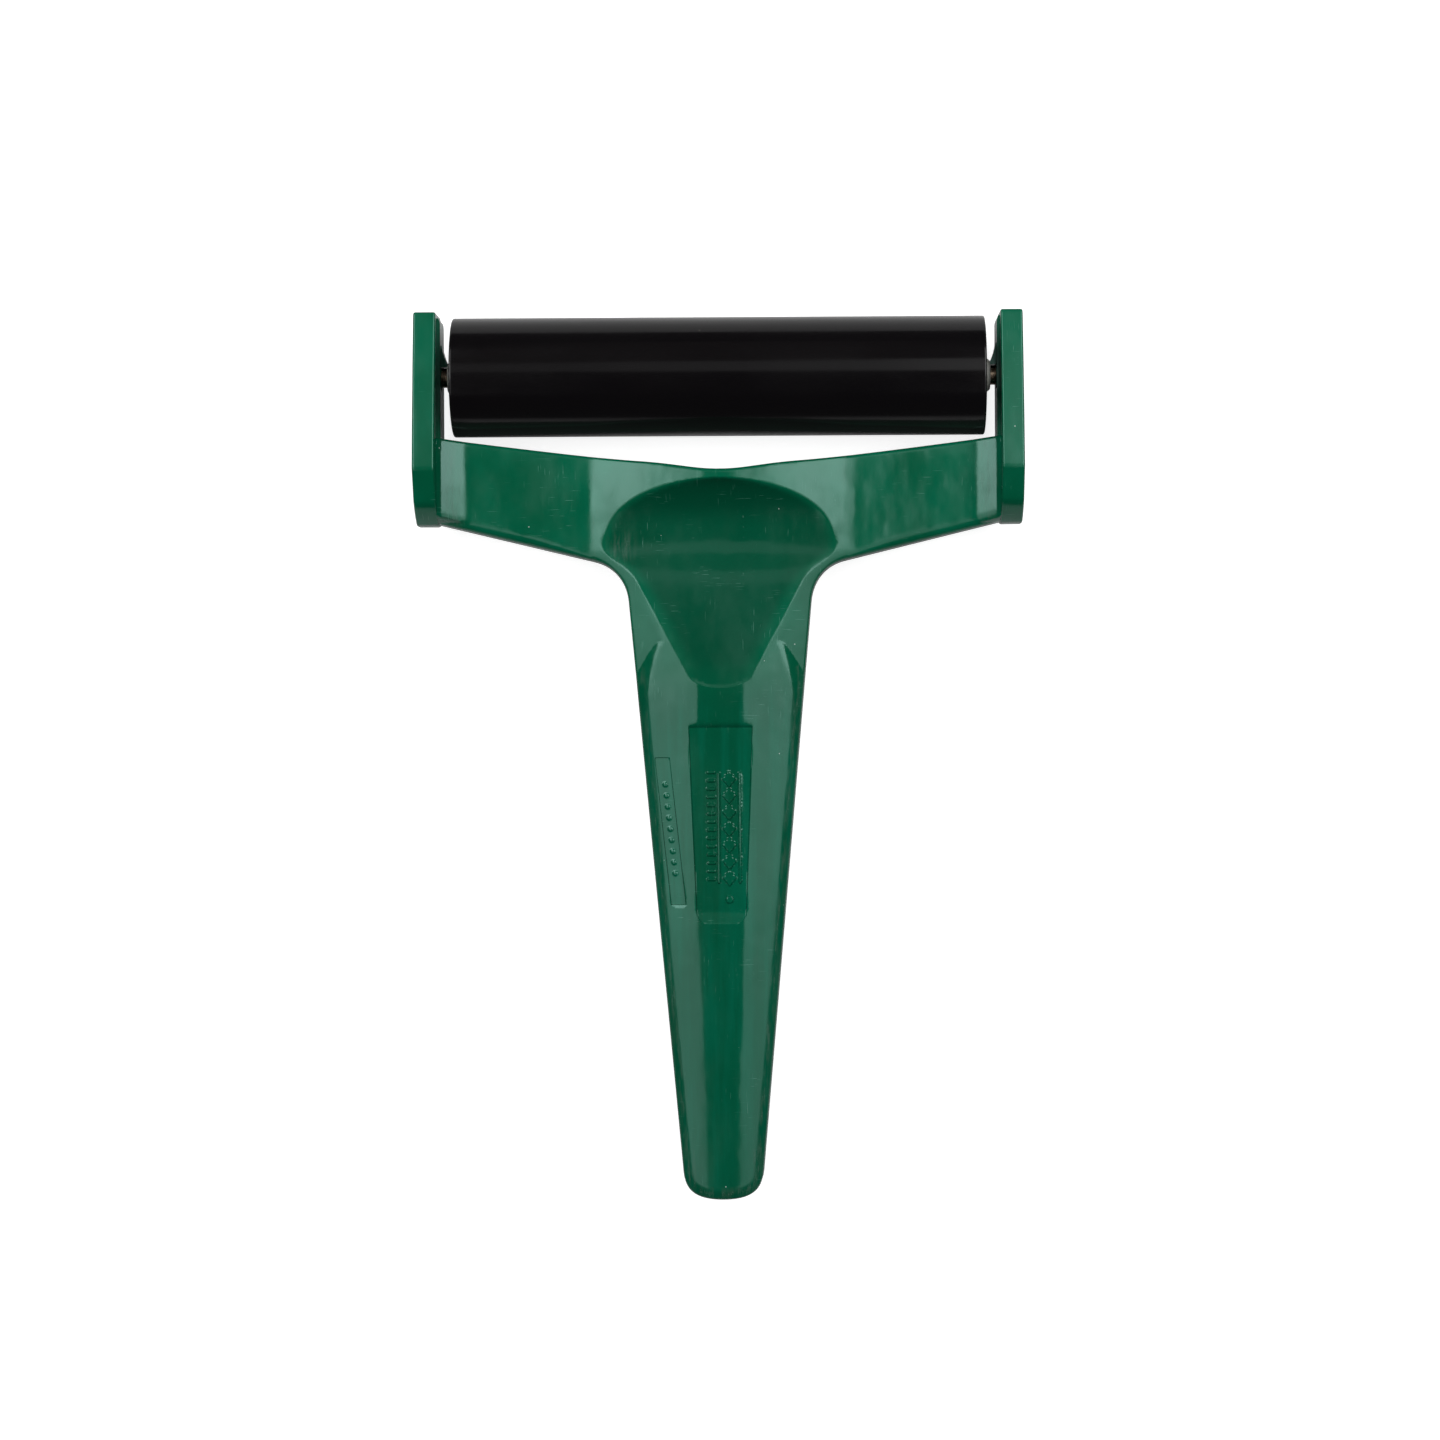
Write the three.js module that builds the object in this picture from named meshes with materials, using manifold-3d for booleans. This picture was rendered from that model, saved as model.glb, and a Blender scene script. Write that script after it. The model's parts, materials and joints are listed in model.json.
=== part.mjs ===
// Rubber brayer: a one-piece plastic handle and yoke, with a rubber roller that turns on a steel axle.
// Millimetres, +Z up. X runs along the roller, +Y points from the handle's end to the roller.
// The brayer lies on a table at z = 0, on its roller and on the flat heel under the handle's end.
// Inside the group `brayer`, y = 0 is the roller's axis, and the group is then moved along Y,
// so that the origin is under the middle of the whole object.
import * as THREE from "three";
import { mergeVertices } from "three/addons/utils/BufferGeometryUtils.js";
import Module from "manifold-3d";

const wasm = await Module();
wasm.setup();

// ---- driving dimensions -------------------------------------------------------------------------
const ROLLER_RADIUS = 12.3;
const ROLLER_LENGTH = 110;
const AXLE_RADIUS = 2;
const RUNNING_CLEARANCE = 0.06;
const BONDED_GAP = 0.05; // between pieces that are pressed or bonded together

const CHEEK_GAP = 116.1; // between the two cheeks' inner faces
const CHEEK_THICKNESS = 4.6;
const CHEEK_FRONT = 13;
const CHEEK_BACK = -30.85;
const CHEEK_BOTTOM = 6.6;
// The top edge of a cheek, from front to back: [y, z]. On its back, the brayer rests on the crest.
const CHEEK_TOP = [
  [12.2, 19.9],
  [5, 21.6],
  [-3, 22.9],
  [-11, 23.8],
  [-19.65, 24.4],
  [-26.5, 20.9],
  [-28.8, 19],
  [-30.3, 16.9],
];

const HANDLE_END = -171;
const HEAD_TOP = 20.5; // height of the crown's middle at the crossbar
const END_TOP = 12.5; // and at the handle's end
const CROSSBAR_BOTTOM = 7;
const HEEL_START = -150; // the handle's underside is flat on the table from here to its end
const CROWN_RUN = -20; // the crown's middle starts to fall here
const CROWN_HALF_WIDTH = 26.6; // the crown's sloping sides end here, on the flat arms
const CROWN_SLOPE = 0.19;
const CROWN_BEND = 0.0075; // how fast the crown's middle strip curves down, per mm
const ARM_FILLET = 5.7;

const SOCKET_DEPTH = 2.4; // into the cheek, beyond the boss
const BOSS_RADIUS = 3.8;
const BOSS_HEIGHT = 1.4;
const RAMP_HALF_WIDTH = 3;
const RAMP_START = 8.2;

const LABEL = { front: -72.8, back: -113.3, frontHalf: 6.4, backHalf: 4.8, depth: 0.9 };
const STAMP = { front: -79, back: -109.3, frontX: -11.9, backX: -8.6, width: 2.8, depth: 0.5 };

const SLEEVE_BORE = 9;
const TUBE_WALL = 1.5;
const TUBE_LENGTH = 106;
const HUB_FLANGE = 1.5;
const HUB_LENGTH = 14;
const BUSH_SHANK = 3;
const BUSH_COLLAR = 3.4;
const COLLAR_PROUD = 1.2;

const HALF_GAP = CHEEK_GAP / 2;
const HALF_LENGTH = (CHEEK_FRONT - HANDLE_END) / 2;
const AXLE_Y = HALF_LENGTH - CHEEK_FRONT;
const AXLE_HALF = HALF_GAP + SOCKET_DEPTH - 0.1;

// ---- materials ----------------------------------------------------------------------------------
const green = new THREE.MeshStandardMaterial({ color: 0x00593c, roughness: 0.3, metalness: 0 });
const rubber = new THREE.MeshStandardMaterial({ color: 0x121112, roughness: 0.45, metalness: 0 });
const steel = new THREE.MeshStandardMaterial({ color: 0x6b6257, roughness: 0.35, metalness: 1 });
const aluminium = new THREE.MeshStandardMaterial({ color: 0xb4b6b8, roughness: 0.4, metalness: 1 });
const blackPlastic = new THREE.MeshStandardMaterial({ color: 0x1c1c1e, roughness: 0.5, metalness: 0 });
const nylon = new THREE.MeshStandardMaterial({ color: 0xb9bab4, roughness: 0.5, metalness: 0 });

// ---- solids -------------------------------------------------------------------------------------
function toSolid(geometry) {
  const bare = geometry.index ? geometry.toNonIndexed() : geometry.clone();
  bare.deleteAttribute("normal");
  bare.deleteAttribute("uv");
  const merged = mergeVertices(bare, 1e-4);
  return new wasm.Manifold(
    new wasm.Mesh({
      numProp: 3,
      vertProperties: merged.attributes.position.array,
      triVerts: new Uint32Array(merged.index.array),
    }),
  );
}

function toGeometry(solid) {
  const mesh = solid.getMesh();
  const geometry = new THREE.BufferGeometry();
  geometry.setAttribute("position", new THREE.BufferAttribute(mesh.vertProperties, 3));
  geometry.setIndex(new THREE.BufferAttribute(mesh.triVerts, 1));
  geometry.computeVertexNormals();
  return geometry;
}

// A shape drawn in the (y, z) plane, made solid from x = x0 to x = x0 + thickness.
function alongX(shape, x0, thickness, bevel = 0, curveSegments = 8) {
  const geometry = new THREE.ExtrudeGeometry(shape, {
    depth: thickness - 2 * bevel,
    bevelEnabled: bevel > 0,
    bevelSize: bevel,
    bevelThickness: bevel,
    bevelOffset: -bevel,
    bevelSegments: 2,
    curveSegments,
  });
  const basis = new THREE.Matrix4().makeBasis(
    new THREE.Vector3(0, 1, 0),
    new THREE.Vector3(0, 0, 1),
    new THREE.Vector3(1, 0, 0),
  );
  return geometry.applyMatrix4(basis).translate(x0 + bevel, 0, 0);
}

// A shape drawn in the (x, y) plane, made solid from z = z0 up.
function upwards(shape, z0, height, curveSegments = 8) {
  const options = { depth: height, bevelEnabled: false, curveSegments };
  return new THREE.ExtrudeGeometry(shape, options).translate(0, 0, z0);
}

// A turned piece: [radius, x] points of its half section, turned about the X axis at axle height.
function turned(points, segments) {
  const profile = [...points, points[0]].map(([radius, x]) => new THREE.Vector2(radius, x));
  return new THREE.LatheGeometry(profile, segments).rotateZ(-Math.PI / 2).translate(0, 0, ROLLER_RADIUS);
}

function mirrorX(solid) {
  return solid.mirror([1, 0, 0]);
}

// ---- the frame's surfaces -----------------------------------------------------------------------
function interpolate(points, at) {
  const next = points.findIndex(([position]) => position <= at);
  if (next === 0) return points[0][1];
  if (next < 0) return points[points.length - 1][1];
  const [a, valueA] = points[next - 1];
  const [b, valueB] = points[next];
  return valueA + ((valueB - valueA) * (at - a)) / (b - a);
}

const NECK = { y: -46.5, half: 19 };
const SIDE_TAPER = 0.0888;

function handleHalfWidth(y) {
  return NECK.half - SIDE_TAPER * (NECK.y - y);
}

// The outline of the frame without its cheeks, seen from above.
function frameOutline() {
  const shape = new THREE.Shape();
  const armEnd = HALF_GAP + 0.4;
  const backEdge = (x) => -30.7 - 0.243 * (HALF_GAP - x);
  const cornerX = 19.6;
  const filletX = 25;
  const endStart = -165;
  const right = [
    [7, -19],
    [14, -18.15],
    [25, -17.3],
  ];
  shape.moveTo(0, -19.6);
  shape.splineThru(right.map(([x, y]) => new THREE.Vector2(x, y)));
  shape.lineTo(armEnd, -12.9);
  shape.lineTo(armEnd, backEdge(armEnd));
  shape.lineTo(filletX, backEdge(filletX));
  shape.quadraticCurveTo(cornerX, backEdge(cornerX), NECK.half, NECK.y);
  shape.lineTo(handleHalfWidth(endStart), endStart);
  shape.bezierCurveTo(8.1, -169.5, 6, -170.9, 0, HANDLE_END);
  const half = shape.getPoints(6);
  const left = half.slice(1, -1).reverse().map((point) => new THREE.Vector2(-point.x, point.y));
  return [...half, ...left];
}

const outline = frameOutline();

// How far a point lies inside the outline.
function insideBy(x, y) {
  let least = Infinity;
  outline.forEach((a, i) => {
    const b = outline[(i + 1) % outline.length];
    const along = b.clone().sub(a);
    const t = Math.min(1, Math.max(0, ((x - a.x) * along.x + (y - a.y) * along.y) / along.lengthSq()));
    least = Math.min(least, Math.hypot(x - a.x - t * along.x, y - a.y - t * along.y));
  });
  return least;
}

function crownMiddle(y) {
  const fall = (HEAD_TOP - END_TOP) / (CROWN_RUN - HANDLE_END);
  return HEAD_TOP - fall * Math.max(0, CROWN_RUN - y);
}

function middleStripHalf(y) {
  return interpolate([[-64, 7.2], [HEEL_START, 3]], y);
}

function crown(x, y) {
  const strip = middleStripHalf(y);
  const inner = Math.min(Math.abs(x), strip);
  const outer = Math.max(0, Math.min(Math.abs(x), CROWN_HALF_WIDTH) - strip);
  return crownMiddle(y) - CROWN_BEND * inner * inner - CROWN_SLOPE * outer;
}

// The thumb scoop is straight across: its depth below the crown's middle depends on y alone.
const SCOOP_DEPTH = [
  [-21.4, 0],
  [-22.2, 0.8],
  [-24, 1.8],
  [-27, 2.8],
  [-30, 3.3],
  [-33, 3.5],
  [-37, 3.2],
  [-41, 2.6],
  [-48, 1.65],
  [-55, 0.95],
  [-61, 0.25],
  [-64.5, -0.3],
];

function scoop(y) {
  const inside = y <= SCOOP_DEPTH[0][0] && y >= SCOOP_DEPTH[SCOOP_DEPTH.length - 1][0];
  return inside ? crownMiddle(y) - interpolate(SCOOP_DEPTH, y) : Infinity;
}

// A quarter ellipse: 0 where the rounding starts, `height` at the outline.
function edgeRounding(inside, width, height) {
  const t = Math.min(1, Math.max(0, 1 - inside / width));
  return height * (1 - Math.sqrt(1 - t * t));
}

const EDGE = { width: 2.4, height: 4, underWidth: 3, underHeight: 3.6, front: -54, full: -62 };

// The handle's edges are square at the crossbar and get their full rounding a little further back.
function edgeShare(y) {
  return Math.min(1, Math.max(0, (EDGE.front - y) / (EDGE.front - EDGE.full)));
}

function frameTop(x, y) {
  const intoFillet = Math.min(ARM_FILLET - 0.05, Math.abs(x) - (HALF_GAP - ARM_FILLET));
  const fillet = intoFillet > 0 ? ARM_FILLET - Math.sqrt(ARM_FILLET ** 2 - intoFillet ** 2) : 0;
  if (fillet > 0) return Math.min(crown(x, y) + fillet, interpolate(CHEEK_TOP, y) - 0.1);
  const handleEdge = edgeShare(y) * edgeRounding(insideBy(x, y), EDGE.width, EDGE.height);
  return Math.min(crown(x, y), scoop(y)) - handleEdge;
}

function frameBottom(x, y) {
  const line = interpolate([[-40, CROSSBAR_BOTTOM], [HEEL_START, 0]], y);
  const handleEdge = edgeShare(y) * edgeRounding(insideBy(x, y), EDGE.underWidth, EDGE.underHeight);
  return line + handleEdge;
}

// Grid lines of the frame's top and underside, from its middle outwards. In the handle they follow
// its tapering edge; in the crossbar they sit on the crown's and the fillets' own edges.
function gridColumns(y) {
  const strip = middleStripHalf(y);
  const edge = handleHalfWidth(y);
  const start = edge - EDGE.width;
  const middle = (strip + start) / 2;
  const rounding = [0, 0.4, 0.72, 0.92, 1].map((share) => start + share * EDGE.width);
  const handle = [0, strip / 2, strip, middle, ...rounding, edge + 1, edge + 2];
  const fillet = [0, 2.2, 4, 5.2, 6.2].map((x) => HALF_GAP - ARM_FILLET + x);
  const crossbar = [0, strip / 2, strip, 15, 21, CROWN_HALF_WIDTH, ...fillet];
  const t = Math.min(1, Math.max(0, (y - NECK.y) / 7));
  return handle.map((x, i) => x + (crossbar[i] - x) * t);
}

function gridRows() {
  const crossbar = [-11, -13, -15, -17, -19.65, -21.39, -25.5, -28.8, -30.3, CHEEK_BACK];
  const neck = [-39.5, -44, NECK.y, -51.5, EDGE.front, -58, EDGE.full, -64.4, -70];
  const heel = [HEEL_START, -158, -164, -167, -168.6, -169.6, -170.3, -170.8, -172];
  const rows = [...crossbar, ...SCOOP_DEPTH.slice(1, -1).map(([y]) => y), ...neck, ...heel];
  for (let y = -80; y > HEEL_START; y -= 10) rows.push(y);
  return rows.sort((a, b) => b - a);
}

// A closed slab between two height surfaces, on a grid of rows along X.
function slab(rows, columns, top, bottom) {
  const grid = rows.map((y) => {
    const half = columns(y);
    const xs = [...half.slice(1).reverse().map((x) => -x), ...half];
    return xs.map((x) => [x, y]);
  });
  const height = grid.length;
  const width = grid[0].length;
  const position = [];
  for (const surface of [top, bottom]) grid.flat().forEach(([x, y]) => position.push(x, y, surface(x, y)));
  const index = [];
  const quad = (a, b, c, d) => index.push(a, b, c, a, c, d);
  const upper = (row, column) => row * width + column;
  const lower = (row, column) => height * width + row * width + column;
  for (let row = 0; row + 1 < height; row += 1) {
    for (let column = 0; column + 1 < width; column += 1) {
      const [here, beside] = [[row, column], [row, column + 1]];
      const [behind, across] = [[row + 1, column], [row + 1, column + 1]];
      quad(upper(...here), upper(...behind), upper(...across), upper(...beside));
      quad(lower(...here), lower(...beside), lower(...across), lower(...behind));
    }
    const end = width - 1;
    quad(upper(row, 0), lower(row, 0), lower(row + 1, 0), upper(row + 1, 0));
    quad(upper(row + 1, end), lower(row + 1, end), lower(row, end), upper(row, end));
  }
  for (let column = 0; column + 1 < width; column += 1) {
    const end = height - 1;
    quad(upper(0, column), upper(0, column + 1), lower(0, column + 1), lower(0, column));
    quad(upper(end, column + 1), upper(end, column), lower(end, column), lower(end, column + 1));
  }
  const geometry = new THREE.BufferGeometry();
  geometry.setAttribute("position", new THREE.Float32BufferAttribute(position, 3));
  geometry.setIndex(index);
  return geometry;
}

// ---- the frame's pieces of shape ----------------------------------------------------------------
function cheek() {
  const corner = 1.5;
  const shape = new THREE.Shape();
  shape.moveTo(CHEEK_FRONT - corner, CHEEK_BOTTOM);
  shape.quadraticCurveTo(CHEEK_FRONT, CHEEK_BOTTOM, CHEEK_FRONT, CHEEK_BOTTOM + corner);
  shape.lineTo(CHEEK_FRONT, CHEEK_TOP[0][1] - 0.9);
  for (const [y, z] of CHEEK_TOP) shape.lineTo(y, z);
  shape.lineTo(CHEEK_BACK, CHEEK_TOP[CHEEK_TOP.length - 1][1] - 2);
  shape.lineTo(CHEEK_BACK, CHEEK_BOTTOM + corner);
  shape.quadraticCurveTo(CHEEK_BACK, CHEEK_BOTTOM, CHEEK_BACK + corner, CHEEK_BOTTOM);
  shape.closePath();
  return toSolid(alongX(shape, HALF_GAP, CHEEK_THICKNESS, 0.4, 6));
}

// The boss around the axle's socket, with the ramp that the axle slides up as it snaps in.
function bossAndRamp() {
  const face = HALF_GAP - BOSS_HEIGHT;
  const root = HALF_GAP + 0.5;
  const edge = 0.3;
  const section = [
    [0, face],
    [BOSS_RADIUS - edge, face],
    [BOSS_RADIUS, face + edge],
    [BOSS_RADIUS, root],
    [0, root],
  ];
  const ramp = new THREE.Shape([
    new THREE.Vector2(root, 0),
    new THREE.Vector2(root, RAMP_START),
    new THREE.Vector2(HALF_GAP, RAMP_START),
    new THREE.Vector2(face, 2.9),
    new THREE.Vector2(face, 0),
  ]);
  const wedge = upwards(ramp, ROLLER_RADIUS - RAMP_HALF_WIDTH, 2 * RAMP_HALF_WIDTH);
  return toSolid(turned(section, 32)).add(toSolid(wedge));
}

function socket() {
  const radius = AXLE_RADIUS + RUNNING_CLEARANCE;
  const start = HALF_GAP - BOSS_HEIGHT - 1;
  const end = HALF_GAP + SOCKET_DEPTH;
  return toSolid(turned([[0, start], [radius, start], [radius, end], [0, end]], 32));
}

// The recess for a label in the handle's crown. Its floor is parallel to the crown's middle line.
function labelRecess() {
  const corner = 2.5;
  const shape = new THREE.Shape();
  shape.moveTo(-LABEL.frontHalf, LABEL.front);
  shape.lineTo(-LABEL.backHalf, LABEL.back + corner);
  shape.quadraticCurveTo(-LABEL.backHalf, LABEL.back, corner - LABEL.backHalf, LABEL.back);
  shape.lineTo(LABEL.backHalf - corner, LABEL.back);
  shape.quadraticCurveTo(LABEL.backHalf, LABEL.back, LABEL.backHalf, LABEL.back + corner);
  shape.lineTo(LABEL.frontHalf, LABEL.front);
  shape.closePath();
  const floorAt = (x, y) => new THREE.Vector3(x, y, crownMiddle(y) - LABEL.depth);
  const corners = [floorAt(0, LABEL.back), floorAt(1, LABEL.front), floorAt(0, LABEL.front)];
  const floor = new THREE.Plane().setFromCoplanarPoints(...corners);
  return toSolid(upwards(shape, 0, 20, 3)).trimByPlane(floor.normal.toArray(), -floor.constant);
}

// A narrow strip recessed into the crown's left side, along the handle's taper.
function stampRecess() {
  const half = STAMP.width / 2;
  const strip = new THREE.Shape([
    new THREE.Vector2(STAMP.backX - half, STAMP.back),
    new THREE.Vector2(STAMP.backX + half, STAMP.back),
    new THREE.Vector2(STAMP.frontX + half, STAMP.front),
    new THREE.Vector2(STAMP.frontX - half, STAMP.front),
  ]);
  const corners = [
    [STAMP.backX, STAMP.back],
    [STAMP.frontX + half, STAMP.front],
    [STAMP.frontX - half, STAMP.front],
  ].map(([x, y]) => new THREE.Vector3(x, y, crown(x, y) - STAMP.depth));
  const floor = new THREE.Plane().setFromCoplanarPoints(...corners);
  return toSolid(upwards(strip, 0, 20)).trimByPlane(floor.normal.toArray(), -floor.constant);
}

function frameGeometry() {
  const prism = toSolid(upwards(new THREE.Shape(outline), -1, 30));
  const body = toSolid(slab(gridRows(), gridColumns, frameTop, frameBottom)).intersect(prism);
  const oneCheek = cheek().add(bossAndRamp());
  const solid = body
    .add(oneCheek)
    .add(mirrorX(oneCheek))
    .subtract(socket())
    .subtract(mirrorX(socket()))
    .subtract(labelRecess())
    .subtract(stampRecess());
  return toGeometry(solid);
}

// ---- the roller ---------------------------------------------------------------------------------
function sleeveGeometry() {
  const half = ROLLER_LENGTH / 2;
  const edge = 0.35;
  const section = [
    [SLEEVE_BORE, -half],
    [ROLLER_RADIUS - edge, -half],
    [ROLLER_RADIUS, edge - half],
    [ROLLER_RADIUS, half - edge],
    [ROLLER_RADIUS - edge, half],
    [SLEEVE_BORE, half],
  ];
  return turned(section, 64);
}

const TUBE_OUTER = SLEEVE_BORE - BONDED_GAP;
const TUBE_INNER = TUBE_OUTER - TUBE_WALL;

function tubeGeometry() {
  const half = TUBE_LENGTH / 2;
  return turned([[TUBE_INNER, -half], [TUBE_OUTER, -half], [TUBE_OUTER, half], [TUBE_INNER, half]], 48);
}

// End plug of the core: a spigot in the tube and a flange over the tube's end, both bored for the bush.
function hubGeometry() {
  const bore = BUSH_SHANK + BONDED_GAP;
  const flangeIn = TUBE_LENGTH / 2 + BONDED_GAP;
  const flangeOut = flangeIn + HUB_FLANGE;
  const section = [
    [bore, flangeOut - HUB_LENGTH],
    [TUBE_INNER - BONDED_GAP, flangeOut - HUB_LENGTH],
    [TUBE_INNER - BONDED_GAP, flangeIn],
    [TUBE_OUTER, flangeIn],
    [TUBE_OUTER, flangeOut],
    [bore, flangeOut],
  ];
  return turned(section, 48);
}

function bushGeometry() {
  const bore = AXLE_RADIUS + RUNNING_CLEARANCE;
  const seat = TUBE_LENGTH / 2 + HUB_FLANGE + 2 * BONDED_GAP;
  const nose = ROLLER_LENGTH / 2 + COLLAR_PROUD;
  const section = [
    [bore, seat - HUB_LENGTH],
    [BUSH_SHANK, seat - HUB_LENGTH],
    [BUSH_SHANK, seat],
    [BUSH_COLLAR, seat],
    [BUSH_COLLAR, nose],
    [bore, nose],
  ];
  return turned(section, 32);
}

// The axle: a plain rod with chamfered ends.
function axleGeometry() {
  const chamfer = 0.5;
  const end = AXLE_HALF;
  const section = [
    [0, -end],
    [AXLE_RADIUS - chamfer, -end],
    [AXLE_RADIUS, chamfer - end],
    [AXLE_RADIUS, end - chamfer],
    [AXLE_RADIUS - chamfer, end],
    [0, end],
  ];
  return turned(section, 32);
}

// ---- assembly -----------------------------------------------------------------------------------
const brayer = new THREE.Group();
brayer.position.y = AXLE_Y;

function addMesh(name, geometry, material, parent = brayer) {
  const mesh = new THREE.Mesh(geometry, material);
  mesh.name = name;
  parent.add(mesh);
  return mesh;
}

addMesh("handle_frame", frameGeometry(), green);
addMesh("axle", axleGeometry(), steel);
addMesh("rubber_sleeve", sleeveGeometry(), rubber);
addMesh("core_tube", tubeGeometry(), aluminium);

// The pieces at the roller's two ends are alike: the left ones are the right ones turned half round.
for (const [side, turn] of [["right", 0], ["left", Math.PI]]) {
  const end = new THREE.Group();
  end.rotation.z = turn;
  brayer.add(end);
  addMesh(`hub_${side}`, hubGeometry(), blackPlastic, end);
  addMesh(`bush_${side}`, bushGeometry(), nylon, end);
}

const part = new THREE.Group();
part.add(brayer);

export default part;
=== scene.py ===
"""The looks of the rubber brayer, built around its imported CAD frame.

Shapes are worked out in millimetres, with x along the roller, y = 0 on its axis and z = 0 on
the table, and become metres in the shared frame when a mesh is made.
"""

import json
import math

import bmesh
import bpy
import numpy as np
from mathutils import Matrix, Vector
from mathutils.geometry import delaunay_2d_cdt
from mathutils.kdtree import KDTree


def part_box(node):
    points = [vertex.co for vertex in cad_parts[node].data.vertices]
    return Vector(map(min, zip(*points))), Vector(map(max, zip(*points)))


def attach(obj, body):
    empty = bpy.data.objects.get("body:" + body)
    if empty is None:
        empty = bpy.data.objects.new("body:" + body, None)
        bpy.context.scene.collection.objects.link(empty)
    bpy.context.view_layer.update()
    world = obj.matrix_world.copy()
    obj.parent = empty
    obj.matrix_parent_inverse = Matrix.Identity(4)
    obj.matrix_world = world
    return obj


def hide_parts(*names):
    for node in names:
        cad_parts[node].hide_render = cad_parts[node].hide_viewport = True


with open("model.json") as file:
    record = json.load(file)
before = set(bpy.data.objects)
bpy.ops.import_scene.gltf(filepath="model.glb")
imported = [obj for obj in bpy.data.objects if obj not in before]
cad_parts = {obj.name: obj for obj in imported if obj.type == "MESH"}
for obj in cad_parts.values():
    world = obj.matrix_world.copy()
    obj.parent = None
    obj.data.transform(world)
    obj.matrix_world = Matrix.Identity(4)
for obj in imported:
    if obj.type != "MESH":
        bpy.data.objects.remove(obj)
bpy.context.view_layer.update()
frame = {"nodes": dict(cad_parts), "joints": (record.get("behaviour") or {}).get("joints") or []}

MM = 1000.0
AXLE = Vector(frame["joints"][0]["pos_m"]) * MM
FRAME_LOW, FRAME_HIGH = (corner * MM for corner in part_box("handle_frame"))

# ---- driving dimensions of the frame --------
CHEEK_OUTER = FRAME_HIGH.x
CHEEK_THICKNESS = 4.6
CHEEK_INNER = CHEEK_OUTER - CHEEK_THICKNESS
CHEEK_FRONT = FRAME_HIGH.y - AXLE.y
CHEEK_BACK = -30.85
CHEEK_BOTTOM = 6.6
CHEEK_RIM = 0.45  # the rounding of the cheek's rims
CREST_Y = -19.65  # the cheek's highest point
CREST_Z = FRAME_HIGH.z
LEDGE = 0.6  # how far the ledge stands out of the cheek's inner face
AXLE_RADIUS = 2.0
BORE_RADIUS = AXLE_RADIUS + 0.06
SLAB_HALF = CHEEK_INNER + 0.8  # the arms end inside the cheeks
BEYOND = CHEEK_INNER + 6.0  # the outlines run past the arms' ends, and are clipped there

HANDLE_END = FRAME_LOW.y - AXLE.y
HEAD_TOP = 20.5
END_TOP = 12.5
CROWN_RUN = -20.0  # the crown is level in front of this y, and falls to the handle's end behind it
CROSSBAR_BOTTOM = 7.0
HEEL_START = -150.0  # the underside rests on the table behind this y
NECK_Y = -46.5
NECK_HALF = 19.0
SIDE_TAPER = 0.0888
ARM_BACK = -30.55  # y of the arm's back edge at the cheek
ARM_SWEEP = 0.243

CROWN_HALF = 26.6  # half the width of the crowned head, where the arms' flat tops begin
BAND_OFFSET = 0.3  # from the flat strip's edge to the middle of its bend
FOLD_REACH = 0.35  # half the width of the fold between band and facet
BAND_SLOPE = 0.15
FACET_SLOPE = 0.19

BOWL = {"y": -33.4, "half": 23.4, "front": 12.0, "back": 8.5, "dish": 0.0012}
TROUGH = {"end": -64.6, "end_curve": 0.04, "half_at": -63.0, "half": 6.1, "spread": 0.536, "rise": 0.07}
LABEL = {"front": -72.8, "back": -113.3, "front_half": 6.5, "back_half": 4.95, "depth": 0.62, "corner": 2.2}
STAMP = {"front": -79.0, "back": -109.3, "front_x": -12.1, "back_x": -8.9, "half": 1.45}
CRESCENT = {"x": 11.85, "tip": -54.4, "end": -62.2}

# The grip's worn bevel: its width at a few places, from near the heel up to the crescents.
GRIP_BEVEL = (
    [-120.0, -66.0, -63.0, -61.0, -59.9, -57.3, -55.5, -54.4, -52.0],
    [2.1, 2.4, 3.0, 3.57, 3.9, 4.77, 5.5, 6.45, 8.5],
)
BEVEL_SLOPE = 0.45

PART_LEDGE = 0.03  # the parting line's bead around the frame
DRAFT = 0.12  # how far the walls lean in between the parting line and the rounding
EJECTOR_MARKS = [(0, -25), (-34, -24), (34, -24), (0, -58), (0, -92), (0, -126), (0, -156)]
EJECTOR = {"radius": 2.6, "depth": 0.12}

OUTLINE_STEP = 0.45
LINE_STEP = 0.7  # between the points of lines along folds
TOP_STEP = 0.62
UNDER_STEP = 1.4
LABEL_STEP = 0.19
STAMP_STEP = 0.2


# ---- small functions on arrays --------
def soft_ramp(t, reach):
    """0 below -reach, t above reach, and a parabola between."""
    middle = np.clip(t + reach, 0, 2 * reach) ** 2 / (4 * reach)
    return np.where(t > reach, t, middle)


def soft_max(a, b, reach):
    return b + soft_ramp(a - b, reach)


def soft_min(a, b, reach):
    return -soft_max(-a, -b, reach)


def smooth_step(t, start, end):
    s = np.clip((t - start) / (end - start), 0, 1)
    return s * s * (3 - 2 * s)


# ---- the frame's outline --------
def bezier(p0, p1, p2, p3, steps):
    t = np.linspace(0, 1, steps + 1)[:, None]
    p0, p1, p2, p3 = (np.array(p, float) for p in (p0, p1, p2, p3))
    return (1 - t) ** 3 * p0 + 3 * t * (1 - t) ** 2 * p1 + 3 * t * t * (1 - t) * p2 + t**3 * p3


def resample(points, step):
    points = np.asarray(points, float)
    lengths = np.r_[0, np.cumsum(np.hypot(*np.diff(points, axis=0).T))]
    count = max(2, int(round(lengths[-1] / step)) + 1)
    at = np.linspace(0, lengths[-1], count)
    return np.column_stack([np.interp(at, lengths, points[:, i]) for i in (0, 1)])


def handle_half(y):
    """Half the width of the tapering handle."""
    return NECK_HALF - SIDE_TAPER * (NECK_Y - y)


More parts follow.
